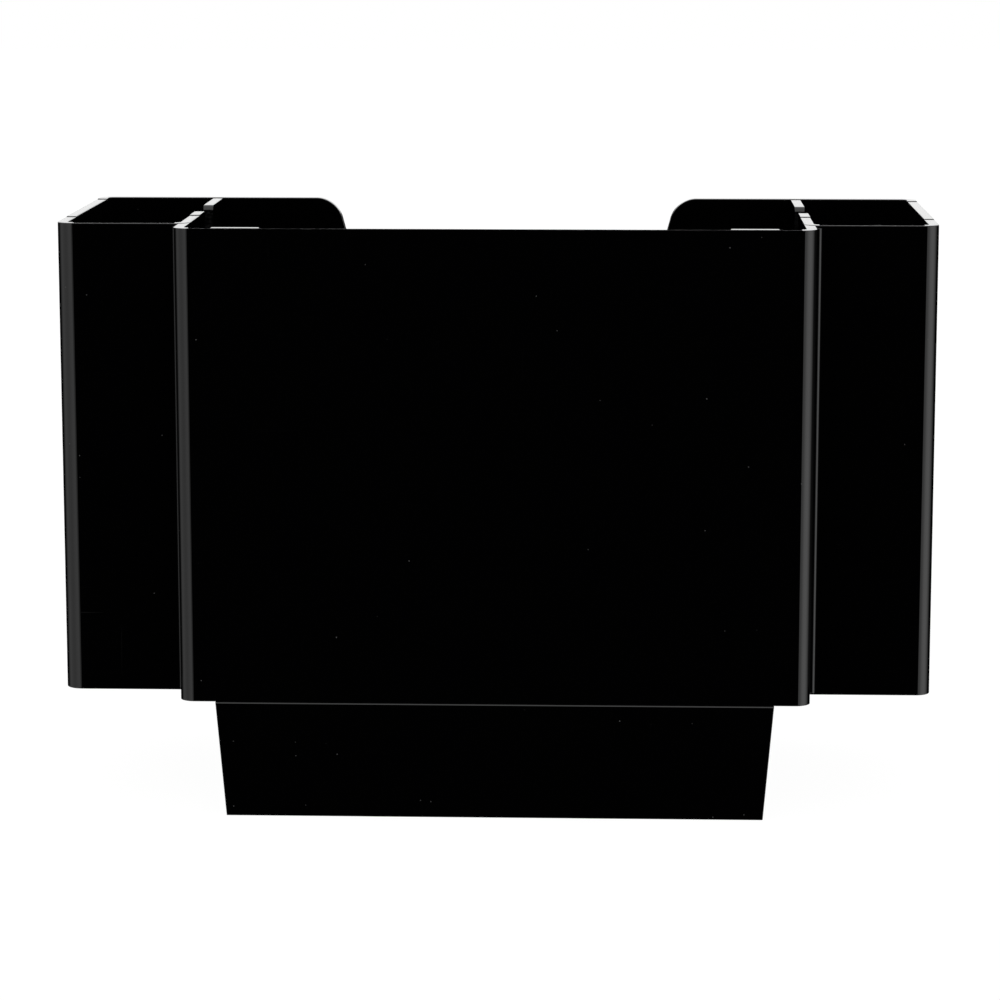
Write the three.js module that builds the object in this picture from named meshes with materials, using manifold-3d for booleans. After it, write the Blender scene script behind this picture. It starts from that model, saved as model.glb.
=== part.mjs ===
// Countertop napkin dispenser in folded and glued black acrylic sheet.
// A wide middle compartment holds flat napkins and stands proud of two narrow
// side pockets for straws and stirrers. A folded bridge lifts the caddy off the
// counter. A loose steel weight rides in open slots in the two dividers.
//
// Frame: millimetres, +Z up, the front faces -Y, +X is to the right of someone
// facing the front. The origin is on the counter, under the middle of the object.

import * as THREE from "three";
import { mergeVertices } from "three/addons/utils/BufferGeometryUtils.js";
import Module from "manifold-3d";

// ---- Driving dimensions ----

const SHEET = 3.175;              // 1/8 inch acrylic
const BEND_INSIDE = 1.5875;       // inside radius of a heat bend
const BEND_STEPS = 10;            // flats in a quarter turn of a bend
const GLUE = 0.1;                 // cement line left between two glued pieces

const OVERALL_WIDTH = 279.4;
const OVERALL_DEPTH = 114.3;
const BOX_HEIGHT = 151.5;
const FOOT_HEIGHT = 37.4;

const CENTRE_WIDTH = 200.9;       // outside of the napkin compartment
const CENTRE_PROTRUSION = 16.5;   // how far it stands in front of the pockets

const OUTER_RETURN = 22.2;        // pocket front to the seam with the outer side
const INNER_RETURN = 28.6;        // pocket front to the seam with the divider
const BACK_RETURN = 9.5;          // ends of the back panel folded forwards

const SLOT_WIDTH = 22.2;
const SLOT_START = 42.9;          // from the pocket front to the slot's front side
const SLOT_FLOOR = 19.05;         // from the bottom of the box to the slot's lowest point
const SLOT_MOUTH_ROUND = 1.6;

const CUTOUT_HALF_WIDTH = 58.1;   // at the rim, before its corners are rounded
const CUTOUT_DEPTH = 76.2;
const CUTOUT_SLOPE = THREE.MathUtils.degToRad(15);
const CUTOUT_TOP_ROUND = 9;
const CUTOUT_BOTTOM_ROUND = 25.4;

const STRIP_WIDTH = 15.2;         // stiffening strips behind the front panel
const STRIP_CENTRE = 81.3;

const FOOT_TOP_WIDTH = 178;
const FOOT_BOTTOM_WIDTH = 171.6;

const BAR_WIDTH = 15.875;
const BAR_THICKNESS = 9.525;
const SPOOL_NECK_RADIUS = 10.3;
const SPOOL_FLANGE_RADIUS = 14;
const SPOOL_FLANGE = 2.6;         // thickness of each flange
const SPOOL_PLAY = 0.4;           // between a flange and the divider's face
const SLOT_REST_GAP = 0.3;        // between the neck and the slot's bottom, at rest
const BAR_FIT = 0.15;             // between the bar and its pocket in the spool
const SCREW_RADIUS = 2;
const SCREW_HOLE_RADIUS = 2.15;
const SCREW_HEAD_RADIUS = 3.8;
const SCREW_HEAD = 2.4;
const SCREW_LENGTH = 10;
const SCREW_HOLE_DEPTH = 12;
const SCREW_POINT = 0.5;          // chamfer at the screw's tip
const SCREW_CROWN = 0.9;          // chamfer round the top of its head
const CUT_OVERRUN = 1;            // how far a cutting tool runs past the face it opens

// ---- Levels and planes worked out from them ----

const BOX_BOTTOM = FOOT_HEIGHT;
const TOP = FOOT_HEIGHT + BOX_HEIGHT;
const FLOOR_TOP = BOX_BOTTOM + SHEET;
const FRONT = -OVERALL_DEPTH / 2;
const BACK = OVERALL_DEPTH / 2;
const POCKET_FRONT = FRONT + CENTRE_PROTRUSION;
const SIDE = OVERALL_WIDTH / 2;
const WALL_OUT = CENTRE_WIDTH / 2;             // divider face towards the pocket
const WALL_IN = WALL_OUT - SHEET;              // divider face towards the napkins
const BEND_MIDDLE = BEND_INSIDE + SHEET / 2;
const BEND_OUTSIDE = BEND_INSIDE + SHEET;
const SLOT_MIDDLE = POCKET_FRONT + SLOT_START + SLOT_WIDTH / 2;
const SLOT_LOW = BOX_BOTTOM + SLOT_FLOOR;
const WEIGHT_HEIGHT = SLOT_LOW + SLOT_REST_GAP + SPOOL_NECK_RADIUS;

// ---- Materials ----

const acrylic = { color: 0x050506, roughness: 0.06, metalness: 0 };
const steel = { color: 0xb9bcc0, roughness: 0.35, metalness: 1 };
const nylon = { color: 0x141415, roughness: 0.5, metalness: 0 };

// ---- Joining and cutting ----

const wasm = await Module();
wasm.setup();

function toSolid(geometry) {
  const bare = geometry.clone();
  bare.deleteAttribute("normal");
  bare.deleteAttribute("uv");
  const merged = mergeVertices(bare, 1e-4);
  return new wasm.Manifold(new wasm.Mesh({
    numProp: 3,
    vertProperties: new Float32Array(merged.attributes.position.array),
    triVerts: new Uint32Array(merged.index.array),
  }));
}

function toGeometry(solid) {
  const mesh = solid.getMesh();
  const geometry = new THREE.BufferGeometry();
  geometry.setAttribute("position", new THREE.BufferAttribute(mesh.vertProperties, 3));
  geometry.setIndex(new THREE.BufferAttribute(mesh.triVerts, 1));
  geometry.computeVertexNormals();
  return geometry;
}

// ---- Sheet work ----

// The closed outline of a folded sheet seen edge on. corners is the middle line
// of the sheet with sharp corners, and each inner corner becomes a bend.
function foldedOutline(corners) {
  const middle = [];
  const sideways = [];
  const addPoint = (point, along) => {
    middle.push(point);
    sideways.push(new THREE.Vector2(-along.y, along.x));
  };
  const points = corners.map(([x, y]) => new THREE.Vector2(x, y));
  for (let i = 0; i < points.length; i += 1) {
    const arriving = i > 0 ? points[i].clone().sub(points[i - 1]).normalize() : null;
    const leaving = i < points.length - 1 ? points[i + 1].clone().sub(points[i]).normalize() : null;
    if (!arriving || !leaving) {
      addPoint(points[i], arriving ?? leaving);
      continue;
    }
    const turn = Math.atan2(arriving.cross(leaving), arriving.dot(leaving));
    const setback = BEND_MIDDLE * Math.tan(Math.abs(turn) / 2);
    const start = points[i].clone().addScaledVector(arriving, -setback);
    const side = Math.sign(turn);
    const inwards = new THREE.Vector2(-arriving.y, arriving.x).multiplyScalar(side);
    const centre = start.clone().addScaledVector(inwards, BEND_MIDDLE);
    for (let step = 0; step <= BEND_STEPS; step += 1) {
      const angle = (turn * step) / BEND_STEPS;
      const point = start.clone().rotateAround(centre, angle);
      addPoint(point, arriving.clone().rotateAround(new THREE.Vector2(), angle));
    }
  }
  const half = SHEET / 2;
  const left = middle.map((point, i) => point.clone().addScaledVector(sideways[i], half));
  const right = middle.map((point, i) => point.clone().addScaledVector(sideways[i], -half));
  return new THREE.Shape([...right, ...left.reverse()]);
}

function rectangle(left, bottom, right, top, round = 0) {
  const shape = new THREE.Shape();
  if (round === 0) {
    shape.moveTo(left, bottom);
    shape.lineTo(right, bottom);
    shape.lineTo(right, top);
    shape.lineTo(left, top);
    return shape;
  }
  shape.absarc(right - round, bottom + round, round, -Math.PI / 2, 0);
  shape.absarc(right - round, top - round, round, 0, Math.PI / 2);
  shape.absarc(left + round, top - round, round, Math.PI / 2, Math.PI);
  shape.absarc(left + round, bottom + round, round, Math.PI, Math.PI * 1.5);
  return shape;
}

function extrude(shape, depth) {
  return new THREE.ExtrudeGeometry(shape, { depth, bevelEnabled: false, curveSegments: 8 });
}

// A plan view drawn in (X, Y), pulled up from one level to another.
function upright(shape, bottom, top) {
  return extrude(shape, top - bottom).translate(0, 0, bottom);
}

// A side view drawn in (Y, Z), pulled along X.
function alongX(shape, from, to) {
  const turn = new THREE.Matrix4().makeBasis(
    new THREE.Vector3(0, 1, 0),
    new THREE.Vector3(0, 0, 1),
    new THREE.Vector3(1, 0, 0),
  );
  return extrude(shape, to - from).applyMatrix4(turn).translate(from, 0, 0);
}

// A front view drawn in (X, Z), pulled along Y.
function alongY(shape, from, to) {
  const turn = new THREE.Matrix4().makeBasis(
    new THREE.Vector3(1, 0, 0),
    new THREE.Vector3(0, 0, 1),
    new THREE.Vector3(0, -1, 0),
  );
  return extrude(shape, to - from).applyMatrix4(turn).translate(0, to, 0);
}

// ---- The group and its parts ----

const dispenser = new THREE.Group();

function addPart(name, geometry, finish) {
  const mesh = new THREE.Mesh(geometry, new THREE.MeshStandardMaterial(finish));
  mesh.name = name;
  dispenser.add(mesh);
}

// Front of the napkin compartment: one sheet, folded back at both ends. Each end
// is hollowed to sit against the bend of the pocket front beside it.
function centreFront() {
  const x = WALL_OUT - SHEET / 2;
  const end = POCKET_FRONT + BEND_OUTSIDE;
  const y = FRONT + SHEET / 2;
  const sheet = toSolid(upright(foldedOutline([[-x, end], [-x, y], [x, y], [x, end]]), BOX_BOTTOM, TOP));
  const seats = [-1, 1].map((side) => {
    const bend = new THREE.CylinderGeometry(BEND_OUTSIDE + GLUE, BEND_OUTSIDE + GLUE, BOX_HEIGHT * 2, 64);
    bend.rotateX(Math.PI / 2);
    bend.translate(side * (WALL_IN + BEND_OUTSIDE), POCKET_FRONT + BEND_OUTSIDE, (BOX_BOTTOM + TOP) / 2);
    return toSolid(bend);
  });
  return toGeometry(sheet.subtract(seats[0]).subtract(seats[1]));
}

// Front of a side pocket: its outer end folds back as the start of the outer side,
// its inner end as the start of the divider.
function pocketFront(side) {
  const outer = side * (SIDE - SHEET / 2);
  const inner = side * (WALL_OUT - SHEET / 2);
  const y = POCKET_FRONT + SHEET / 2;
  return upright(foldedOutline([[outer, POCKET_FRONT + OUTER_RETURN], [outer, y], [inner, y],
    [inner, POCKET_FRONT + INNER_RETURN]]), BOX_BOTTOM, TOP);
}

function outerSide(side) {
  const x = [side * SIDE, side * (SIDE - SHEET)].sort((a, b) => a - b);
  const shape = rectangle(x[0], POCKET_FRONT + OUTER_RETURN + GLUE, x[1], BACK - BACK_RETURN - GLUE);
  return upright(shape, BOX_BOTTOM, TOP);
}

// Divider between the napkins and a pocket, with the open slot that guides the weight.
function divider(side) {
  const front = POCKET_FRONT + INNER_RETURN + GLUE;
  const back = BACK - SHEET - GLUE;
  const slotFront = SLOT_MIDDLE - SLOT_WIDTH / 2;
  const slotBack = SLOT_MIDDLE + SLOT_WIDTH / 2;
  const mouth = SLOT_MOUTH_ROUND;
  const shape = new THREE.Shape();
  shape.moveTo(front, BOX_BOTTOM);
  shape.lineTo(back, BOX_BOTTOM);
  shape.lineTo(back, TOP);
  shape.absarc(slotBack + mouth, TOP - mouth, mouth, Math.PI / 2, Math.PI);
  shape.absarc(SLOT_MIDDLE, SLOT_LOW + SLOT_WIDTH / 2, SLOT_WIDTH / 2, 0, -Math.PI, true);
  shape.absarc(slotFront - mouth, TOP - mouth, mouth, 0, Math.PI / 2);
  shape.lineTo(front, TOP);
  const x = [side * WALL_IN, side * WALL_OUT].sort((a, b) => a - b);
  return alongX(shape, x[0], x[1]);
}

// Back: one sheet with short folded ends and a hand cut-out open at the rim.
function backPanel() {
  const x = SIDE - SHEET / 2;
  const y = BACK - SHEET / 2;
  const start = BACK - BACK_RETURN;
  const sheet = toSolid(upright(foldedOutline([[x, start], [x, y], [-x, y], [-x, start]]), BOX_BOTTOM, TOP));
  return toGeometry(sheet.subtract(toSolid(alongY(cutout(), BACK - 2 * SHEET, BACK + SHEET))));
}

// Outline of the hand cut-out: round shoulders at the rim, sides that lean in,
// and a round-cornered bottom.
function cutout() {
  const lean = CUTOUT_SLOPE;
  const low = TOP - CUTOUT_DEPTH;
  const shoulder = CUTOUT_TOP_ROUND;
  const corner = CUTOUT_BOTTOM_ROUND;
  const shoulderX = CUTOUT_HALF_WIDTH + shoulder / Math.tan((Math.PI / 2 + lean) / 2);
  const lowHalf = CUTOUT_HALF_WIDTH - CUTOUT_DEPTH * Math.tan(lean);
  const cornerX = lowHalf - corner * Math.tan((Math.PI / 2 - lean) / 2);
  const shape = new THREE.Shape();
  shape.moveTo(shoulderX, TOP + SHEET);
  shape.lineTo(shoulderX, TOP);
  shape.absarc(shoulderX, TOP - shoulder, shoulder, Math.PI / 2, Math.PI - lean);
  shape.absarc(cornerX, low + corner, corner, -lean, -Math.PI / 2, true);
  shape.absarc(-cornerX, low + corner, corner, -Math.PI / 2, -Math.PI + lean, true);
  shape.absarc(-shoulderX, TOP - shoulder, shoulder, lean, Math.PI / 2);
  shape.lineTo(-shoulderX, TOP + SHEET);
  return shape;
}

// The floors drop in between the walls, with corners rounded to clear the bends.
function centreFloor() {
  const half = WALL_IN - GLUE;
  return upright(rectangle(-half, FRONT + SHEET + GLUE, half, BACK - SHEET - GLUE, BEND_INSIDE + GLUE),
    BOX_BOTTOM, FLOOR_TOP);
}

function pocketFloor(side) {
  const x = [side * (WALL_OUT + GLUE), side * (SIDE - SHEET - GLUE)].sort((a, b) => a - b);
  const shape = rectangle(x[0], POCKET_FRONT + SHEET + GLUE, x[1], BACK - SHEET - GLUE, BEND_INSIDE + GLUE);
  return upright(shape, BOX_BOTTOM, FLOOR_TOP);
}

// Upright strip cemented to the inside of the front panel.
function frontStrip(side) {
  const middle = side * STRIP_CENTRE;
  const y = FRONT + SHEET + GLUE;
  const shape = rectangle(middle - STRIP_WIDTH / 2, y, middle + STRIP_WIDTH / 2, y + SHEET);
  return upright(shape, FLOOR_TOP + GLUE, TOP);
}

// The foot is a frame of four sheets that narrows towards the counter: two upright
// ones at the front and the back, and two leaning ones between them.
const FOOT_TOP = FOOT_HEIGHT - GLUE;
const FOOT_LEAN = Math.atan((FOOT_TOP_WIDTH - FOOT_BOTTOM_WIDTH) / 2 / FOOT_TOP);

function footPanel(y) {
  const shape = new THREE.Shape();
  shape.moveTo(-FOOT_BOTTOM_WIDTH / 2, 0);
  shape.lineTo(FOOT_BOTTOM_WIDTH / 2, 0);
  shape.lineTo(FOOT_TOP_WIDTH / 2, FOOT_TOP);
  shape.lineTo(-FOOT_TOP_WIDTH / 2, FOOT_TOP);
  return alongY(shape, y, y + SHEET);
}

function footSide(side) {
  const thick = SHEET / Math.cos(FOOT_LEAN);
  const shape = new THREE.Shape();
  shape.moveTo(side * (FOOT_BOTTOM_WIDTH / 2 - thick), 0);
  shape.lineTo(side * FOOT_BOTTOM_WIDTH / 2, 0);
  shape.lineTo(side * FOOT_TOP_WIDTH / 2, FOOT_TOP);
  shape.lineTo(side * (FOOT_TOP_WIDTH / 2 - thick), FOOT_TOP);
  return alongY(shape, FRONT + SHEET + GLUE, BACK - SHEET - GLUE);
}

// ---- The loose weight ----

const SPOOL_INNER = WALL_IN - SPOOL_PLAY - SPOOL_FLANGE;
const NECK_INNER = WALL_IN - SPOOL_PLAY;
const NECK_OUTER = WALL_OUT + SPOOL_PLAY;
const SPOOL_OUTER = NECK_OUTER + SPOOL_FLANGE;
const BAR_HALF = NECK_OUTER - BAR_FIT;

// A turned piece whose profile is given as [radius, distance out along X].
function turned(profile, side) {
  const outline = profile.map(([radius, along]) => new THREE.Vector2(radius, along));
  const geometry = new THREE.LatheGeometry(outline, 40);
  geometry.rotateZ(-Math.PI / 2);
  if (side < 0) {
    geometry.rotateZ(Math.PI);
  }
  return geometry;
}

function placeOnWeight(geometry) {
  return geometry.translate(0, SLOT_MIDDLE, WEIGHT_HEIGHT);
}

function rod(radius, from, to, side) {
  return toSolid(turned([[0, from], [radius, from], [radius, to], [0, to]], side));
}

function weightBar() {
  const bar = toSolid(new THREE.BoxGeometry(2 * BAR_HALF, BAR_WIDTH, BAR_THICKNESS));
  const bottom = BAR_HALF - SCREW_HOLE_DEPTH;
  const holes = [-1, 1].map((side) => rod(SCREW_HOLE_RADIUS, bottom, BAR_HALF + CUT_OVERRUN, side));
  return placeOnWeight(toGeometry(bar.subtract(holes[0]).subtract(holes[1])));
}

// Grooved spool that runs in a divider's slot: the divider sits in its groove.
function guideSpool(side) {
  const blank = toSolid(turned([
    [0, SPOOL_INNER],
    [SPOOL_FLANGE_RADIUS, SPOOL_INNER],
    [SPOOL_FLANGE_RADIUS, NECK_INNER],
    [SPOOL_NECK_RADIUS, NECK_INNER],
    [SPOOL_NECK_RADIUS, NECK_OUTER],
    [SPOOL_FLANGE_RADIUS, NECK_OUTER],
    [SPOOL_FLANGE_RADIUS, SPOOL_OUTER],
    [0, SPOOL_OUTER],
  ], side));
  const width = BAR_WIDTH + 2 * BAR_FIT;
  const thickness = BAR_THICKNESS + 2 * BAR_FIT;
  const pocket = new THREE.BoxGeometry(NECK_OUTER - SPOOL_INNER + CUT_OVERRUN, width, thickness);
  pocket.translate(side * (NECK_OUTER + SPOOL_INNER - CUT_OVERRUN) / 2, 0, 0);
  const hole = rod(SCREW_HOLE_RADIUS, NECK_OUTER - CUT_OVERRUN, SPOOL_OUTER + CUT_OVERRUN, side);
  return placeOnWeight(toGeometry(blank.subtract(toSolid(pocket)).subtract(hole)));
}

function spoolScrew(side) {
  const underHead = SPOOL_OUTER + GLUE;
  const tip = underHead - SCREW_LENGTH;
  return placeOnWeight(turned([
    [0, tip],
    [SCREW_RADIUS - SCREW_POINT, tip],
    [SCREW_RADIUS, tip + SCREW_POINT],
    [SCREW_RADIUS, underHead],
    [SCREW_HEAD_RADIUS, underHead],
    [SCREW_HEAD_RADIUS, underHead + SCREW_HEAD - SCREW_CROWN],
    [SCREW_HEAD_RADIUS - SCREW_CROWN, underHead + SCREW_HEAD],
    [0, underHead + SCREW_HEAD],
  ], side));
}

// ---- Assembly ----

addPart("centre_front", centreFront(), acrylic);
addPart("back_panel", backPanel(), acrylic);
addPart("centre_floor", centreFloor(), acrylic);
addPart("foot_front", footPanel(FRONT), acrylic);
addPart("foot_back", footPanel(BACK - SHEET), acrylic);
addPart("weight_bar", weightBar(), steel);
for (const [hand, side] of [["left", -1], ["right", 1]]) {
  addPart(`${hand}_pocket_front`, pocketFront(side), acrylic);
  addPart(`${hand}_outer_side`, outerSide(side), acrylic);
  addPart(`${hand}_divider`, divider(side), acrylic);
  addPart(`${hand}_pocket_floor`, pocketFloor(side), acrylic);
  addPart(`${hand}_front_strip`, frontStrip(side), acrylic);
  addPart(`${hand}_foot_side`, footSide(side), acrylic);
  addPart(`${hand}_guide_spool`, guideSpool(side), nylon);
  addPart(`${hand}_spool_screw`, spoolScrew(side), steel);
}

export default dispenser;
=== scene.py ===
# %% [markdown]
# # A black acrylic napkin caddy, piece by piece
#
# The caddy is made the way a plastics shop makes one: sheets of gloss black acrylic are
# sawn to size, some are softened along a line and folded, and all of them are cemented
# edge to face. This notebook makes each sheet as its own piece, gives it the small
# rounded edges of a polished sheet, and lights it like a product on a white counter.
#
# The measured model is loaded first and never changed. Every piece below reads its size
# and place from that model, in metres, with Z up and the front facing -Y.

# %% Load the measured model
import math

import bmesh
import bpy
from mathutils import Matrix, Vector


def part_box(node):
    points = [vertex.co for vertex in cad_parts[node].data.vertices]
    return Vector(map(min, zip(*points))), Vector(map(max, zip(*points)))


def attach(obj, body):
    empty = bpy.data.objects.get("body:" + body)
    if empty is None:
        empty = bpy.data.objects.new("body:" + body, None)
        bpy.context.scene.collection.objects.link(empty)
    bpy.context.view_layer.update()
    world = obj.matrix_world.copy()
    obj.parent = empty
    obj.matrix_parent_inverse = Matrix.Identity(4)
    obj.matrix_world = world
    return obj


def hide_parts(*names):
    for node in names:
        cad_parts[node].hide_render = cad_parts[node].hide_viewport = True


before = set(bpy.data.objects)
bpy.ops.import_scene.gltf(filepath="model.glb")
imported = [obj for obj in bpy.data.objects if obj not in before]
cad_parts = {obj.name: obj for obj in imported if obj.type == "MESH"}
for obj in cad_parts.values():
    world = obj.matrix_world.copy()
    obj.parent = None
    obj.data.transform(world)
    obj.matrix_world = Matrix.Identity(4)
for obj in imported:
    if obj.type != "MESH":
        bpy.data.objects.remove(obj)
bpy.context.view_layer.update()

# %% [markdown]
# ## Sizes
#
# A maker works from a few numbers. The radius of a fold and the width of a cement line
# belong to the shop. The rest is read from the measured model, so that a sheet always
# fits its neighbours.

# %% Sizes of the material and the levels of the box
MM = 0.001
SIDES = {"left": -1, "right": 1}

floor_low, floor_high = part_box("centre_floor")
front_low, front_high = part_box("centre_front")
back_low, back_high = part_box("back_panel")
pocket_low, pocket_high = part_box("right_pocket_front")
outer_side_low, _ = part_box("right_outer_side")
divider_low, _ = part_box("right_divider")

SHEET = floor_high.z - floor_low.z
BEND_INSIDE = SHEET / 2
BEND_MIDDLE = BEND_INSIDE + SHEET / 2
BEND_OUTSIDE = BEND_INSIDE + SHEET
GLUE = 0.1 * MM
BEND_SEGMENTS = 24
EDGE_ROUND = 0.22 * MM
EDGE_SEGMENTS = 3

BOX_BOTTOM = front_low.z
TOP = front_high.z
POCKET_FRONT = pocket_low.y
WALL_IN = pocket_low.x
WALL_OUT = WALL_IN + SHEET
SIDE = pocket_high.x
print(f"sheet {SHEET / MM:.3f} mm, box from {BOX_BOTTOM / MM:.1f} to {TOP / MM:.1f} mm")

# %% [markdown]
# ## Working by hand, in code
#
# The steps of modelling by hand are: add a simple shape, go into edit mode, select some
# of it, and use a tool on the selection. Selecting with the mouse becomes selecting by
# place, which the helpers below do. A tool acts on everything that is selected, so each
# helper starts by selecting nothing.

# %% Helpers for adding a shape and selecting parts of it
def add_shape(name, tool, **settings):
    """Add a primitive with nothing else selected, and put its place into its mesh."""
    bpy.ops.object.select_all(action="DESELECT")
    tool(**settings)
    piece = bpy.context.object
    piece.name = name
    piece.data.name = name
    bpy.ops.object.transform_apply(location=True, rotation=True, scale=True)
    return piece


def make_active(piece):
    bpy.ops.object.select_all(action="DESELECT")
    piece.select_set(True)
    bpy.context.view_layer.objects.active = piece


def edit(piece):
    make_active(piece)
    bpy.ops.object.mode_set(mode="EDIT")


def leave_edit():
    bpy.ops.object.mode_set(mode="OBJECT")


def choose(piece, kind, test):
    """In edit mode, select the vertices, edges or faces that pass the test."""
    modes = {"verts": "VERT", "edges": "EDGE", "faces": "FACE"}
    bpy.ops.mesh.select_mode(type=modes[kind])
    bpy.ops.mesh.select_all(action="DESELECT")
    mesh = bmesh.from_edit_mesh(piece.data)
    for part in getattr(mesh, kind):
        if test(part):
            part.select_set(True)
    mesh.select_flush_mode()
    bmesh.update_edit_mesh(piece.data)


def move_chosen(x=0.0, y=0.0, z=0.0):
    bpy.ops.transform.translate(value=(x, y, z))


def near(a, b):
    return abs(a - b) < 1e-6


# %% [markdown]
# ## Finishing a piece
#
# A modifier can be tried and changed, but a finished piece carries only its mesh, so each
# modifier is applied. Three finish a sheet: Solidify gives it thickness, Bevel rounds its
# sawn edges a little, and Weighted Normal keeps the wide faces flat in the reflections
# while the small bevels stay soft.

# %% Helpers for modifiers
def apply_modifier(piece, kind, **settings):
    make_active(piece)
    modifier = piece.modifiers.new(kind.title(), kind)
    for name, value in settings.items():
        setattr(modifier, name, value)
    bpy.ops.object.modifier_apply(modifier=modifier.name)


def round_edges(piece, width=EDGE_ROUND, segments=EDGE_SEGMENTS):
    """Round every edge sharper than 40 degrees and shade the piece smoothly."""
    apply_modifier(piece, "BEVEL", width=width, segments=segments, limit_method="ANGLE",
                   angle_limit=math.radians(40), miter_outer="MITER_ARC")
    make_active(piece)
    bpy.ops.object.shade_smooth()
    apply_modifier(piece, "WEIGHTED_NORMAL", mode="FACE_AREA", weight=50)


def cut(piece, cutter):
    """Cut the cutter's shape out of the piece, and throw the cutter away."""
    apply_modifier(piece, "BOOLEAN", operation="DIFFERENCE", object=cutter, solver="EXACT")
    bpy.data.objects.remove(cutter)


def finish(piece, body, slot, *nodes):
    """Let the piece ride on its body and stand for its measured nodes."""
    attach(piece, body)
    if nodes:
        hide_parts(*nodes)
    print(f"{piece.name}: {len(piece.data.polygons)} faces")


# %% [markdown]
# ## Tools for materials
#
# Every surface is built from a few nodes that work in object coordinates, so a pattern
# has its real size and stays on the piece when it moves.

# %% A small tool for building node materials
def new_material(name, ior=1.49):
    material = bpy.data.materials.new(name)
    material.use_nodes = True
    shader = material.node_tree.nodes["Principled BSDF"]
    shader.inputs["IOR"].default_value = ior
    return material, material.node_tree, shader


def node(tree, kind, settings=None, **inputs):
    """Add a node, set its properties, and fill or link its inputs by name or by number."""
    made = tree.nodes.new(kind)
    for name, value in (settings or {}).items():
        setattr(made, name, value)
    for name, value in inputs.items():
        numbered = name.startswith("input_")
        socket = made.inputs[int(name[6:])] if numbered else made.inputs[name]
        if isinstance(value, bpy.types.NodeSocket):
            tree.links.new(value, socket)
        else:
            socket.default_value = value
    return made


def placed(tree, scale=(1, 1, 1), turn=(0, 0, 0)):
    """Object coordinates in metres, stretched and turned."""
    coordinates = node(tree, "ShaderNodeTexCoord")
    mapping = node(tree, "ShaderNodeMapping", Vector=coordinates.outputs["Object"],
                   Scale=scale, Rotation=turn)
    return mapping.outputs["Vector"]


def noise(tree, vector, scale, detail=2.0):
    return node(tree, "ShaderNodeTexNoise", Vector=vector, Scale=scale, Detail=detail).outputs["Fac"]


def remap(tree, value, low, high, to_low=0.0, to_high=1.0):
    made = node(tree, "ShaderNodeMapRange", {"interpolation_type": "SMOOTHSTEP"}, Value=value)
    for name, number in (("From Min", low), ("From Max", high), ("To Min", to_low), ("To Max", to_high)):
        made.inputs[name].default_value = number
    return made.outputs["Result"]


def math_node(tree, operation, first, second=0.0):
    return node(tree, "ShaderNodeMath", {"operation": operation}, input_0=first, input_1=second).outputs[0]


def blend(tree, factor, first, second):
    made = node(tree, "ShaderNodeMix", {"data_type": "RGBA"}, Factor=factor, A=first, B=second)
    return made.outputs["Result"]


def set_bump(tree, shader, height, strength, distance):
    bump = node(tree, "ShaderNodeBump", Height=height, Strength=strength, Distance=distance)
    tree.links.new(bump.outputs["Normal"], shader.inputs["Normal"])


# %% [markdown]
# ## Gloss black acrylic
#
# Cast black acrylic is almost pure black. All that the eye gets from it is its surface: a
# mirror with a few specks of dust, hairline scratches from wiping and a faint ripple left
# by the oven. So its colour does little, and its roughness and bump do the work.

# %% The faces of a sheet
def gloss_black_acrylic():
    material, tree, shader = new_material("gloss_black_acrylic")
    here = placed(tree)
    grains = node(tree, "ShaderNodeTexVoronoi", Vector=here, Scale=300.0, Randomness=1.0)
    chance = node(tree, "ShaderNodeSeparateColor", Color=grains.outputs["Color"]).outputs["Red"]
    size = remap(tree, chance, 0.8, 1.0, 0.0, 0.06)
    dust = math_node(tree, "LESS_THAN", grains.outputs["Distance"], size)
    deep = (0.0004, 0.0004, 0.00045, 1)
    grey = (0.055, 0.055, 0.054, 1)
    tree.links.new(blend(tree, dust, deep, grey), shader.inputs["Base Color"])
    haze = remap(tree, noise(tree, here, 22.0, 3.0), 0.45, 0.8, 0.012, 0.035)
    upright_hair = remap(tree, noise(tree, placed(tree, (1300, 40, 22), (0, 0.06, 0)), 1.0, 0.0),
                         0.83, 0.87, 0.0, 0.08)
    slanted_hair = remap(tree, noise(tree, placed(tree, (30, 40, 1100), (0, 0.5, 0)), 1.0, 0.0),
                         0.83, 0.87, 0.0, 0.08)
    hairs = math_node(tree, "MAXIMUM", upright_hair, slanted_hair)
    tree.links.new(math_node(tree, "ADD", haze, hairs), shader.inputs["Roughness"])
    set_bump(tree, shader, noise(tree, here, 14.0, 1.0), 0.35, 0.00008)
    return material


# %% The sawn and flame-polished edge of a sheet
def polished_edge():
    material, tree, shader = new_material("polished_edge")
    grain = noise(tree, placed(tree), 900.0, 3.0)
    dark = (0.0012, 0.0012, 0.0013, 1)
    pale = (0.008, 0.008, 0.008, 1)
    tree.links.new(blend(tree, remap(tree, grain, 0.4, 0.7), dark, pale), shader.inputs["Base Color"])
    tree.links.new(remap(tree, grain, 0.3, 0.7, 0.05, 0.12), shader.inputs["Roughness"])
    set_bump(tree, shader, grain, 0.3, 0.00004)
    return material


# %% Cement that has set in a corner
def set_cement():
    material, tree, shader = new_material("set_cement", ior=1.48)
    flow = noise(tree, placed(tree, (1, 1, 0.25)), 260.0, 2.0)
    shader.inputs["Base Color"].default_value = (0.0008, 0.0008, 0.0009, 1)
    tree.links.new(remap(tree, flow, 0.3, 0.7, 0.04, 0.14), shader.inputs["Roughness"])
    set_bump(tree, shader, flow, 0.25, 0.00015)
    return material


ACRYLIC = gloss_black_acrylic()
EDGE = polished_edge()
CEMENT = set_cement()

# %% [markdown]
# ## Camera
#
# The camera stands a little over a metre in front, slightly to the right and above the
# rim, with a long lens, so the sides of the box stay nearly parallel.

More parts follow.
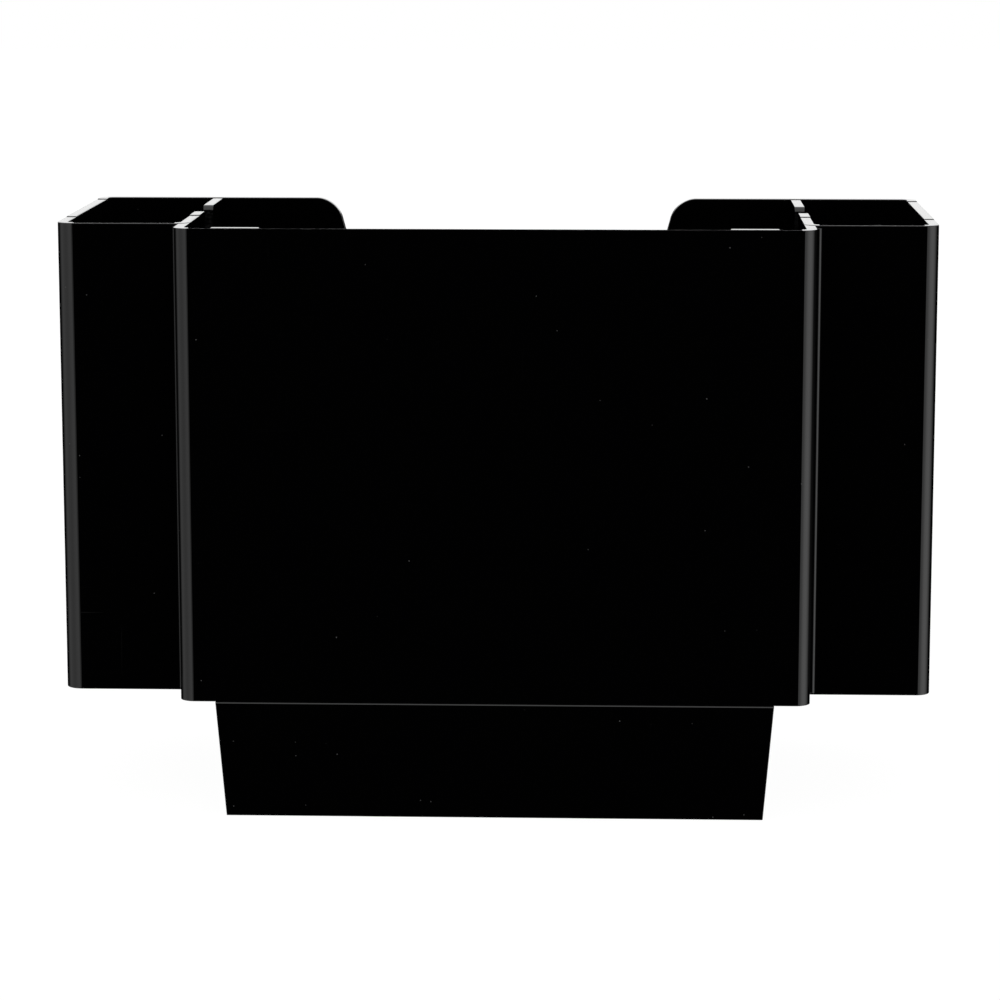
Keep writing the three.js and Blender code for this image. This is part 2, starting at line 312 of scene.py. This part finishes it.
# %% Camera
camera = bpy.data.objects.new("camera", bpy.data.cameras.new("camera"))
bpy.context.scene.collection.objects.link(camera)
camera.location = (0.0407, -1.1199, 0.2865)
camera.rotation_euler = (math.radians(90 - 9.78), 0, math.radians(2.088))
camera.data.lens = 123.4
camera.data.sensor_width = 36
bpy.context.scene.camera = camera

# %% [markdown]
# ## Folded sheets
#
# A strip heater softens the sheet along a line and the sheet is folded over a jig. In
# Blender that is a strip of flat faces, one for each leg, whose shared edges are beveled
# with many segments: the bevel is the fold. Thickness comes afterwards, so the inside and
# the outside of the fold stay an even distance apart.

# %% Fold a sheet along a path
def upright_at(edge_or_face, place):
    return all((v.co.xy - place.xy).length < 1e-6 for v in edge_or_face.verts)


def folded_sheet(name, corners, low, high, radii=(BEND_MIDDLE, BEND_MIDDLE)):
    """A sheet standing upright, folded square at both inner corners of its middle line."""
    points = [Vector((x, y, 0)) for x, y in corners]
    leg = points[1] - points[0]
    middle = (points[0] + points[1]) / 2 + Vector((0, 0, (low + high) / 2))
    turn = (math.pi / 2, 0, math.atan2(leg.y, leg.x))
    piece = add_shape(name, bpy.ops.mesh.primitive_plane_add, size=leg.length, location=middle, rotation=turn)
    edit(piece)
    for is_end, level in ((lambda v: v.co.z < middle.z, low), (lambda v: v.co.z > middle.z, high)):
        choose(piece, "verts", is_end)
        now = next(v.co.z for v in bmesh.from_edit_mesh(piece.data).verts if v.select)
        move_chosen(z=level - now)
    for start, end in zip(points[1:], points[2:]):
        choose(piece, "edges", lambda e: upright_at(e, start))
        bpy.ops.mesh.extrude_region_move(TRANSFORM_OT_translate={"value": end - start})
    for fold, radius in zip(points[1:-1], radii):
        choose(piece, "edges", lambda e: upright_at(e, fold))
        bpy.ops.mesh.bevel(offset=radius, segments=BEND_SEGMENTS, affect="EDGES")
    leave_edit()
    piece.data.materials.append(ACRYLIC)
    piece.data.materials.append(EDGE)
    apply_modifier(piece, "SOLIDIFY", thickness=SHEET, offset=0, use_even_offset=True,
                   use_quality_normals=True, material_offset_rim=1)
    return piece


# %% [markdown]
# ## Front of the napkin compartment
#
# One wide sheet with a short return at each end. The returns stop against the round
# outside of the pocket fronts' folds, so their ends are hollowed to that radius.
#
# Sheets are sawn to a stop by hand, so their rims do not quite line up. From the back panel
# to the front each stands a little lower than the one behind it, and the saw cut of the
# folded fronts slopes a little towards the back.

# %% Paint a cutter with the finish that its cut leaves behind
def paint_all(piece, material):
    piece.data.materials.append(ACRYLIC)
    piece.data.materials.append(material)
    for face in piece.data.polygons:
        face.material_index = 1


# %% How far a rim misses its neighbour
SIDE_STEP = 0.18 * MM
POCKET_STEP = 0.35 * MM
FRONT_STEP = 0.45 * MM
STRIP_STEP = 0.6 * MM
RIM_SLOPE = 0.22 * MM


def slope_rim(piece, behind):
    """Lower the far edge of the rim along the straight front of a folded sheet."""
    edit(piece)
    choose(piece, "verts", lambda v: v.co.z > TOP - SHEET and near(v.co.y, behind))
    move_chosen(z=-RIM_SLOPE)
    leave_edit()


# %% Front of the napkin compartment
def centre_front():
    x = WALL_OUT - SHEET / 2
    y = front_low.y + SHEET / 2
    end = POCKET_FRONT + BEND_OUTSIDE
    path = [(-x, end), (-x, y), (x, y), (x, end)]
    piece = folded_sheet("front_sheet", path, BOX_BOTTOM, TOP - FRONT_STEP)
    slope_rim(piece, front_low.y + SHEET)
    for side in SIDES.values():
        place = (side * (WALL_IN + BEND_OUTSIDE), end, (BOX_BOTTOM + TOP) / 2)
        seat = add_shape("seat", bpy.ops.mesh.primitive_cylinder_add, vertices=128,
                         radius=BEND_OUTSIDE + GLUE, depth=2 * TOP, location=place)
        paint_all(seat, EDGE)
        cut(piece, seat)
    round_edges(piece)
    finish(piece, "caddy", "black_acrylic", "centre_front")


centre_front()

# %% [markdown]
# ## Side pocket fronts
#
# Each is a narrow front with two returns: the outer one starts the outer side of the box,
# and the inner one starts the wall between the pocket and the napkins. The left outer fold
# was heated over a wider line, so it is a little rounder.

# %% Pocket fronts
OUTER_FOLD_EXTRA = {"left": 0.7 * MM, "right": 0.0}


def pocket_front(hand, side):
    outer = side * (SIDE - SHEET / 2)
    inner = side * (WALL_OUT - SHEET / 2)
    y = POCKET_FRONT + SHEET / 2
    path = [(outer, outer_side_low.y - GLUE), (outer, y), (inner, y), (inner, divider_low.y - GLUE)]
    radii = (BEND_MIDDLE + OUTER_FOLD_EXTRA[hand], BEND_MIDDLE)
    piece = folded_sheet(f"{hand}_pocket_sheet", path, BOX_BOTTOM, TOP - POCKET_STEP, radii)
    slope_rim(piece, POCKET_FRONT + SHEET)
    round_edges(piece)
    finish(piece, "caddy", "black_acrylic", f"{hand}_pocket_front")


for hand, side in SIDES.items():
    pocket_front(hand, side)

# %% [markdown]
# ## Flat sheets
#
# A flat sheet is a box with two polished faces and four sawn edges. The finish of a face
# follows from the way it looks: across the thin direction it is an edge.

# %% Cut a flat sheet
def flat_sheet(name, low, high, corner_round=0.0):
    """A flat sheet between two corners of space, thin along one axis."""
    size = high - low
    thin = min(range(3), key=lambda axis: size[axis])
    piece = add_shape(name, bpy.ops.mesh.primitive_cube_add, size=1, location=(low + high) / 2, scale=size)
    if corner_round:
        edit(piece)
        choose(piece, "edges", lambda e: not near(e.verts[0].co[thin], e.verts[1].co[thin]))
        bpy.ops.mesh.bevel(offset=corner_round, segments=6, affect="EDGES")
        leave_edit()
    piece.data.materials.append(ACRYLIC)
    piece.data.materials.append(EDGE)
    for face in piece.data.polygons:
        face.material_index = 0 if abs(face.normal[thin]) > 0.5 else 1
    return piece


def plain_sheet(node_name, piece_name, corner_round=0.0, step=0.0):
    low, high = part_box(node_name)
    piece = flat_sheet(piece_name, low, high - Vector((0, 0, step)), corner_round)
    round_edges(piece)
    finish(piece, "caddy", "black_acrylic", node_name)


plain_sheet("centre_floor", "centre_floor_sheet", BEND_INSIDE)
for hand in SIDES:
    plain_sheet(f"{hand}_outer_side", f"{hand}_side_sheet", step=SIDE_STEP)
    fold_inside = BEND_INSIDE + OUTER_FOLD_EXTRA[hand]
    plain_sheet(f"{hand}_pocket_floor", f"{hand}_pocket_floor_sheet", fold_inside)
    plain_sheet(f"{hand}_front_strip", f"{hand}_strip_sheet", step=STRIP_STEP)

# %% [markdown]
# ## Slotted dividers
#
# Each divider has a slot from the rim nearly to the floor, where the weight slides. The
# router bit that cuts it is drawn as a flat outline whose corners are rounded by a vertex
# bevel: the two low corners until they meet in a half circle, and the two at the rim a
# little, so that the mouth has shoulders.

# %% Draw a line from point to point
def drawn_line(name, points):
    """Shrink a plane to one vertex, extrude that along the points, and stay in edit mode."""
    piece = add_shape(name, bpy.ops.mesh.primitive_plane_add, size=MM, location=points[0])
    edit(piece)
    bpy.ops.mesh.select_mode(type="VERT")
    bpy.ops.mesh.select_all(action="SELECT")
    bpy.ops.mesh.merge(type="CENTER")
    for start, end in zip(points, points[1:]):
        bpy.ops.mesh.extrude_region_move(TRANSFORM_OT_translate={"value": end - start})
    bpy.ops.mesh.select_all(action="SELECT")
    return piece


# %% Draw a cutter from its outline
def upright_cutter(name, outline, axis, start, end):
    """A cutter drawn as (across, up, corner radius) and pushed along an axis from start to end."""
    if axis == "x":
        corners = [(Vector((start, across, up)), radius) for across, up, radius in outline]
    else:
        corners = [(Vector((across, start, up)), radius) for across, up, radius in outline]
    cutter = drawn_line(name, [corner for corner, _ in corners])
    bpy.ops.mesh.edge_face_add()
    for corner, radius in corners:
        if radius:
            choose(cutter, "verts", lambda v: (v.co - corner).length < 1e-6)
            bpy.ops.mesh.bevel(offset=radius, segments=20, affect="VERTICES")
    bpy.ops.mesh.select_all(action="SELECT")
    push = (end - start, 0, 0) if axis == "x" else (0, end - start, 0)
    bpy.ops.mesh.extrude_region_move(TRANSFORM_OT_translate={"value": push})
    bpy.ops.mesh.select_all(action="SELECT")
    bpy.ops.mesh.normals_make_consistent(inside=False)
    leave_edit()
    paint_all(cutter, EDGE)
    return cutter


# %% Dividers
bar_low, bar_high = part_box("weight_bar")
spool_low, spool_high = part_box("right_guide_spool")
SLOT_HALF = 11.1 * MM
SLOT_MIDDLE = (bar_low.y + bar_high.y) / 2
SLOT_LOW = BOX_BOTTOM + 19.05 * MM
MOUTH_ROUND = 1.6 * MM


def divider(hand, side):
    low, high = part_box(f"{hand}_divider")
    piece = flat_sheet(f"{hand}_divider_sheet", low, high - Vector((0, 0, SIDE_STEP)))
    front, back = SLOT_MIDDLE - SLOT_HALF, SLOT_MIDDLE + SLOT_HALF
    bit_round = SLOT_HALF * 0.9999
    rim, above = TOP - SIDE_STEP, TOP + SHEET
    outline = [
        (front, SLOT_LOW, bit_round),
        (back, SLOT_LOW, bit_round),
        (back, rim, MOUTH_ROUND),
        (back + MOUTH_ROUND, rim, 0),
        (back + MOUTH_ROUND, above, 0),
        (front - MOUTH_ROUND, above, 0),
        (front - MOUTH_ROUND, rim, 0),
        (front, rim, MOUTH_ROUND),
    ]
    cut(piece, upright_cutter("slot_cutter", outline, "x", low.x - SHEET, high.x + SHEET))
    round_edges(piece)
    finish(piece, "caddy", "black_acrylic", f"{hand}_divider")


for hand, side in SIDES.items():
    divider(hand, side)

# %% [markdown]
# ## Back panel
#
# The far wall is one sheet, folded forwards at both ends, with a wide hand cut-out whose
# sides lean in. The shoulders at the rim and the corners at the bottom are rounded on the
# cutter before it goes through the sheet.

# %% Back panel with its hand cut-out
CUTOUT_DEPTH = 76.2 * MM
CUTOUT_HALF = 58.1 * MM
CUTOUT_LEAN = math.radians(15)
SHOULDER_ROUND = 9 * MM
CUTOUT_CORNER_ROUND = 25.4 * MM


def back_panel():
    x = SIDE - SHEET / 2
    y = back_high.y - SHEET / 2
    path = [(x, back_low.y), (x, y), (-x, y), (-x, back_low.y)]
    piece = folded_sheet("back_sheet", path, BOX_BOTTOM, TOP)
    low = TOP - CUTOUT_DEPTH
    low_half = CUTOUT_HALF - CUTOUT_DEPTH * math.tan(CUTOUT_LEAN)
    # A round of radius r starts at r times this distance from its corner.
    shoulder_reach = SHOULDER_ROUND * math.tan((math.pi / 2 - CUTOUT_LEAN) / 2)
    corner_reach = CUTOUT_CORNER_ROUND * math.tan((math.pi / 2 - CUTOUT_LEAN) / 2)
    right_half = [
        (low_half, low, corner_reach),
        (CUTOUT_HALF, TOP, shoulder_reach),
        (CUTOUT_HALF + shoulder_reach, TOP, 0),
        (CUTOUT_HALF + shoulder_reach, TOP + SHEET, 0),
    ]
    outline = right_half + [(-across, up, reach) for across, up, reach in reversed(right_half)]
    cut(piece, upright_cutter("hand_cutter", outline, "y", y - SHEET, y + SHEET))
    round_edges(piece)
    finish(piece, "caddy", "black_acrylic", "back_panel")


back_panel()

# %% [markdown]
# ## Foot
#
# The foot is a frame of four sheets. The front and back ones are upright and narrow
# towards the counter, and the two between them lean in to follow those slanted ends. Each
# starts as a straight sheet, and its low end is then pushed in.

# %% Foot
foot_low, foot_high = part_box("foot_front")
FOOT_LOW_HALF = 85.8 * MM
FOOT_TOP_ROUND = 0.6 * MM


def foot_panel(node_name, piece_name):
    low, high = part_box(node_name)
    piece = flat_sheet(piece_name, low, high)
    edit(piece)
    for side in SIDES.values():
        choose(piece, "verts", lambda v: near(v.co.z, low.z) and v.co.x * side > 0)
        move_chosen(x=side * (FOOT_LOW_HALF - high.x))
    choose(piece, "edges", lambda e: all(near(v.co.z, high.z) for v in e.verts)
           and near(e.verts[0].co.y, e.verts[1].co.y))
    bpy.ops.mesh.bevel(offset=FOOT_TOP_ROUND, segments=8, affect="EDGES")
    leave_edit()
    round_edges(piece)
    finish(piece, "caddy", "black_acrylic", node_name)


def foot_side(hand, side):
    low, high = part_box(f"{hand}_foot_side")
    drop = foot_high.z - foot_low.z
    lean = math.atan((foot_high.x - FOOT_LOW_HALF) / drop)
    thick = SHEET / math.cos(lean)
    outer = side * foot_high.x
    inner = side * (foot_high.x - thick)
    corner_low = Vector((min(outer, inner), low.y, low.z))
    corner_high = Vector((max(outer, inner), high.y, high.z))
    piece = flat_sheet(f"{hand}_foot_side_sheet", corner_low, corner_high)
    edit(piece)
    choose(piece, "verts", lambda v: near(v.co.z, low.z))
    move_chosen(x=side * (FOOT_LOW_HALF - foot_high.x))
    leave_edit()
    round_edges(piece)
    finish(piece, "caddy", "black_acrylic", f"{hand}_foot_side")


foot_panel("foot_front", "foot_front_sheet")
foot_panel("foot_back", "foot_back_sheet")
for hand, side in SIDES.items():
    foot_side(hand, side)

# %% [markdown]
# ## Cement beads
#
# Where the pocket fronts meet the middle compartment, a bead of cement was laid in the
# corner and set as a half round rod, the left one thinner than the right one. It is a
# cylinder, turned upright, of which only the half in front of the sheet is kept.

# %% Cement in the two front corners
BEAD_RADIUS = {"left": 1.0 * MM, "right": 1.15 * MM}
BEAD_GAP = 0.02 * MM


def cement_bead(hand, side):
    radius = BEAD_RADIUS[hand]
    low, high = BOX_BOTTOM + SHEET / 4, TOP - FRONT_STEP - SHEET / 4
    place = Vector((side * (WALL_OUT + radius + BEAD_GAP), POCKET_FRONT - BEAD_GAP, (low + high) / 2))
    piece = add_shape(f"{hand}_cement_bead", bpy.ops.mesh.primitive_cylinder_add, vertices=40,
                      radius=radius, depth=high - low, location=place)
    edit(piece)
    bpy.ops.mesh.select_all(action="SELECT")
    bpy.ops.mesh.bisect(plane_co=place, plane_no=(0, 1, 0), use_fill=True, clear_outer=True)
    leave_edit()
    piece.data.materials.append(CEMENT)
    round_edges(piece, radius / 4, 3)
    finish(piece, "caddy", "black_acrylic")


for hand, side in SIDES.items():
    cement_bead(hand, side)

# %% [markdown]
# ## The loose weight
#
# A steel bar lies on the napkins and keeps them flat. At each end a grooved nylon spool
# runs in the divider's slot, held by a screw. All of it lies deep in the box, so only a
# lifted weight is seen well.

# %% Brushed steel, nylon and plated steel
def brushed_steel():
    material, tree, shader = new_material("brushed_steel")
    shader.inputs["Metallic"].default_value = 1.0
    lines = noise(tree, placed(tree, (12, 2600, 2600)), 1.0, 4.0)
    cloud = noise(tree, placed(tree), 30.0, 2.0)
    tone = blend(tree, cloud, (0.5, 0.505, 0.51, 1), (0.62, 0.625, 0.63, 1))
    tree.links.new(tone, shader.inputs["Base Color"])
    tree.links.new(remap(tree, lines, 0.25, 0.75, 0.2, 0.38), shader.inputs["Roughness"])
    set_bump(tree, shader, lines, 0.25, 0.00002)
    return material


def turned_nylon():
    material, tree, shader = new_material("turned_nylon", ior=1.53)
    grooves = noise(tree, placed(tree, (2400, 20, 20)), 1.0, 2.0)
    shader.inputs["Base Color"].default_value = (0.013, 0.013, 0.014, 1)
    tree.links.new(remap(tree, grooves, 0.3, 0.7, 0.36, 0.5), shader.inputs["Roughness"])
    set_bump(tree, shader, grooves, 0.3, 0.00003)
    return material


def plated_steel():
    material, tree, shader = new_material("plated_steel")
    shader.inputs["Metallic"].default_value = 1.0
    spots = noise(tree, placed(tree), 700.0, 3.0)
    tone = blend(tree, spots, (0.5, 0.5, 0.51, 1), (0.68, 0.68, 0.69, 1))
    tree.links.new(tone, shader.inputs["Base Color"])
    tree.links.new(remap(tree, spots, 0.3, 0.7, 0.16, 0.3), shader.inputs["Roughness"])
    return material


STEEL = brushed_steel()
NYLON = turned_nylon()
PLATED = plated_steel()

# %% Bar
WEIGHT_HEIGHT = (bar_low.z + bar_high.z) / 2
BAR_EDGE_ROUND = 0.4 * MM
SCREW_HOLE = 2.15 * MM
SCREW_HOLE_DEPTH = 12 * MM


def weight_bar():
    piece = add_shape("steel_bar", bpy.ops.mesh.primitive_cube_add, size=1, location=(bar_low + bar_high) / 2,
                      scale=bar_high - bar_low)
    piece.data.materials.append(STEEL)
    for side in SIDES.values():
        place = (side * bar_high.x, SLOT_MIDDLE, WEIGHT_HEIGHT)
        drill = add_shape("drill", bpy.ops.mesh.primitive_cylinder_add, vertices=48, radius=SCREW_HOLE,
                          depth=2 * SCREW_HOLE_DEPTH, location=place, rotation=(0, math.pi / 2, 0))
        drill.data.materials.append(STEEL)
        cut(piece, drill)
    round_edges(piece, BAR_EDGE_ROUND, 3)
    finish(piece, "weight", "stainless_steel", "weight_bar")


weight_bar()

# %% Turned pieces
def turned(name, profile, side):
    """Spin a half profile, given as (distance along X, radius), into a turned piece."""
    points = [Vector((side * x, SLOT_MIDDLE, WEIGHT_HEIGHT + radius)) for x, radius in profile]
    piece = drawn_line(name, points)
    bpy.ops.mesh.spin(steps=64, angle=2 * math.pi, center=(0, SLOT_MIDDLE, WEIGHT_HEIGHT), axis=(1, 0, 0))
    bpy.ops.mesh.select_all(action="SELECT")
    bpy.ops.mesh.remove_doubles(threshold=1e-6)
    bpy.ops.mesh.normals_make_consistent(inside=False)
    leave_edit()
    return piece


# %% Guide spools
SPOOL_NECK = 10.3 * MM
FLANGE = 2.6 * MM
SPOOL_RADIUS = (spool_high.z - spool_low.z) / 2
BAR_FIT = 0.15 * MM
SPOOL_EDGE_ROUND = 0.35 * MM


def guide_spool(hand, side):
    inner, outer = spool_low.x, spool_high.x
    groove_in, groove_out = inner + FLANGE, outer - FLANGE
    profile = [(inner, 0), (inner, SPOOL_RADIUS), (groove_in, SPOOL_RADIUS), (groove_in, SPOOL_NECK),
               (groove_out, SPOOL_NECK), (groove_out, SPOOL_RADIUS), (outer, SPOOL_RADIUS), (outer, 0)]
    piece = turned(f"{hand}_nylon_spool", profile, side)
    piece.data.materials.append(NYLON)
    start, end = inner - MM, groove_out
    pocket_size = ((end - start), bar_high.y - bar_low.y + 2 * BAR_FIT, bar_high.z - bar_low.z + 2 * BAR_FIT)
    pocket = add_shape("pocket", bpy.ops.mesh.primitive_cube_add, size=1, scale=pocket_size,
                       location=(side * (start + end) / 2, SLOT_MIDDLE, WEIGHT_HEIGHT))
    pocket.data.materials.append(NYLON)
    cut(piece, pocket)
    hole = add_shape("hole", bpy.ops.mesh.primitive_cylinder_add, vertices=48, radius=SCREW_HOLE,
                     depth=4 * FLANGE, rotation=(0, math.pi / 2, 0),
                     location=(side * (groove_out + FLANGE), SLOT_MIDDLE, WEIGHT_HEIGHT))
    hole.data.materials.append(NYLON)
    cut(piece, hole)
    round_edges(piece, SPOOL_EDGE_ROUND, 3)
    finish(piece, "weight", "black_nylon", f"{hand}_guide_spool")


for hand, side in SIDES.items():
    guide_spool(hand, side)

# %% Spool screws, with a cross recess pressed into each head
screw_low, screw_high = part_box("right_spool_screw")
HEAD_HEIGHT = 2.4 * MM
HEAD_RADIUS = (screw_high.z - screw_low.z) / 2
SHANK_RADIUS = 2 * MM
TIP_CHAMFER = 0.5 * MM
RECESS_LENGTH = 4 * MM
RECESS_WIDTH = 1 * MM
RECESS_DEPTH = 1.2 * MM
SCREW_EDGE_ROUND = 0.12 * MM


def spool_screw(hand, side):
    tip, under, crown = screw_low.x, screw_high.x - HEAD_HEIGHT, screw_high.x
    profile = [(tip, 0), (tip, SHANK_RADIUS - TIP_CHAMFER), (tip + TIP_CHAMFER, SHANK_RADIUS),
               (under, SHANK_RADIUS), (under, HEAD_RADIUS), (crown - 1.3 * MM, HEAD_RADIUS),
               (crown - 0.5 * MM, HEAD_RADIUS * 0.8), (crown - 0.12 * MM, HEAD_RADIUS * 0.45), (crown, 0)]
    piece = turned(f"{hand}_plated_screw", profile, side)
    piece.data.materials.append(PLATED)
    for size in ((RECESS_WIDTH, RECESS_LENGTH), (RECESS_LENGTH, RECESS_WIDTH)):
        blade = add_shape("blade", bpy.ops.mesh.primitive_cube_add, size=1, scale=(2 * RECESS_DEPTH, *size),
                          location=(side * crown, SLOT_MIDDLE, WEIGHT_HEIGHT))
        blade.data.materials.append(PLATED)
        cut(piece, blade)
    round_edges(piece, SCREW_EDGE_ROUND, 2)
    finish(piece, "weight", "screw_steel", f"{hand}_spool_screw")


for hand, side in SIDES.items():
    spool_screw(hand, side)

# %% [markdown]
# ## Studio
#
# The caddy stands on a white counter in a white room. A mirror shows what stands around
# it, so what the black sheets reflect matters more than how brightly they are lit: a dark
# aisle where the camera stands, a soft white panel on each side of it, a bright wall and
# ceiling behind and above, and a darker floor. Angles are measured around the object,
# away from the front.

# %% Studio surroundings
SECOND_MIRROR = 0.25


def studio():
    world = bpy.data.worlds.new("studio")
    bpy.context.scene.world = world
    world.use_nodes = True
    tree = world.node_tree
    background = tree.nodes["Background"]
    ray = node(tree, "ShaderNodeTexCoord").outputs["Generated"]
    parts = node(tree, "ShaderNodeSeparateXYZ", Vector=ray)
    towards_camera = math_node(tree, "MULTIPLY", parts.outputs["Y"], -1.0)
    to_the_right = math_node(tree, "ARCTAN2", parts.outputs["X"], towards_camera)
    to_the_left = math_node(tree, "MULTIPLY", to_the_right, -1.0)
    height = math_node(tree, "ARCSINE", parts.outputs["Z"])

    def ramp(angle, start, end, from_tone, to_tone):
        return remap(tree, angle, math.radians(start), math.radians(end), from_tone, to_tone)

    def times(first, second):
        return math_node(tree, "MULTIPLY", first, second)

    # Each panel starts at a sharp edge, changes slowly along its length, and fades out.
    left_edge = math_node(tree, "MAXIMUM", ramp(to_the_left, 9.6, 10.4, 0, 0.35),
                          ramp(to_the_left, 9, 24, 0, 0.95))
    left = times(times(left_edge, ramp(to_the_left, 28, 60, 1, 0.74)), ramp(to_the_left, 87, 125, 1, 0))
    right_edge = times(ramp(to_the_right, 21, 27, 0, 0.92), ramp(to_the_right, 30, 58, 1, 1.88))
    right = times(right_edge, ramp(to_the_right, 68, 122, 1, 0))
    # The bright wall starts at the horizon, and the floor is a little lit far below it.
    above = ramp(height, -1, 3, 0, 1.35)
    below = ramp(height, -40, -28, 0.35, 0)
    seen = left
    for part in (right, above, below):
        seen = math_node(tree, "MAXIMUM", seen, part)
    # Haze on the sheets dulls what is seen by way of a second mirror.
    path = node(tree, "ShaderNodeLightPath")
    seen = times(seen, remap(tree, path.outputs["Glossy Depth"], 1, 2, 1.0, SECOND_MIRROR))
    mirror = node(tree, "ShaderNodeMix", {"data_type": "FLOAT"}, Factor=path.outputs["Is Glossy Ray"],
                  A=1.0, B=seen)
    tree.links.new(mirror.outputs["Result"], background.inputs["Strength"])
    background.inputs["Color"].default_value = (1, 1, 1, 1)


def counter():
    top = add_shape("counter", bpy.ops.mesh.primitive_plane_add, size=12, location=(0, 0, 0))
    material, tree, shader = new_material("white_counter")
    shader.inputs["Base Color"].default_value = (0.06, 0.06, 0.06, 1)
    shader.inputs["Roughness"].default_value = 0.9
    shader.inputs["Specular IOR Level"].default_value = 0.0
    shader.inputs["Emission Color"].default_value = (1, 1, 1, 1)
    shader.inputs["Emission Strength"].default_value = 0.97
    top.data.materials.append(material)
    top.visible_glossy = False


studio()
counter()
bpy.context.scene.view_settings.view_transform = "Standard"

# %% [markdown]
# ## Clearing the selection
#
# The script ends with nothing selected.

# %% Clear the selection
bpy.ops.object.select_all(action="DESELECT")
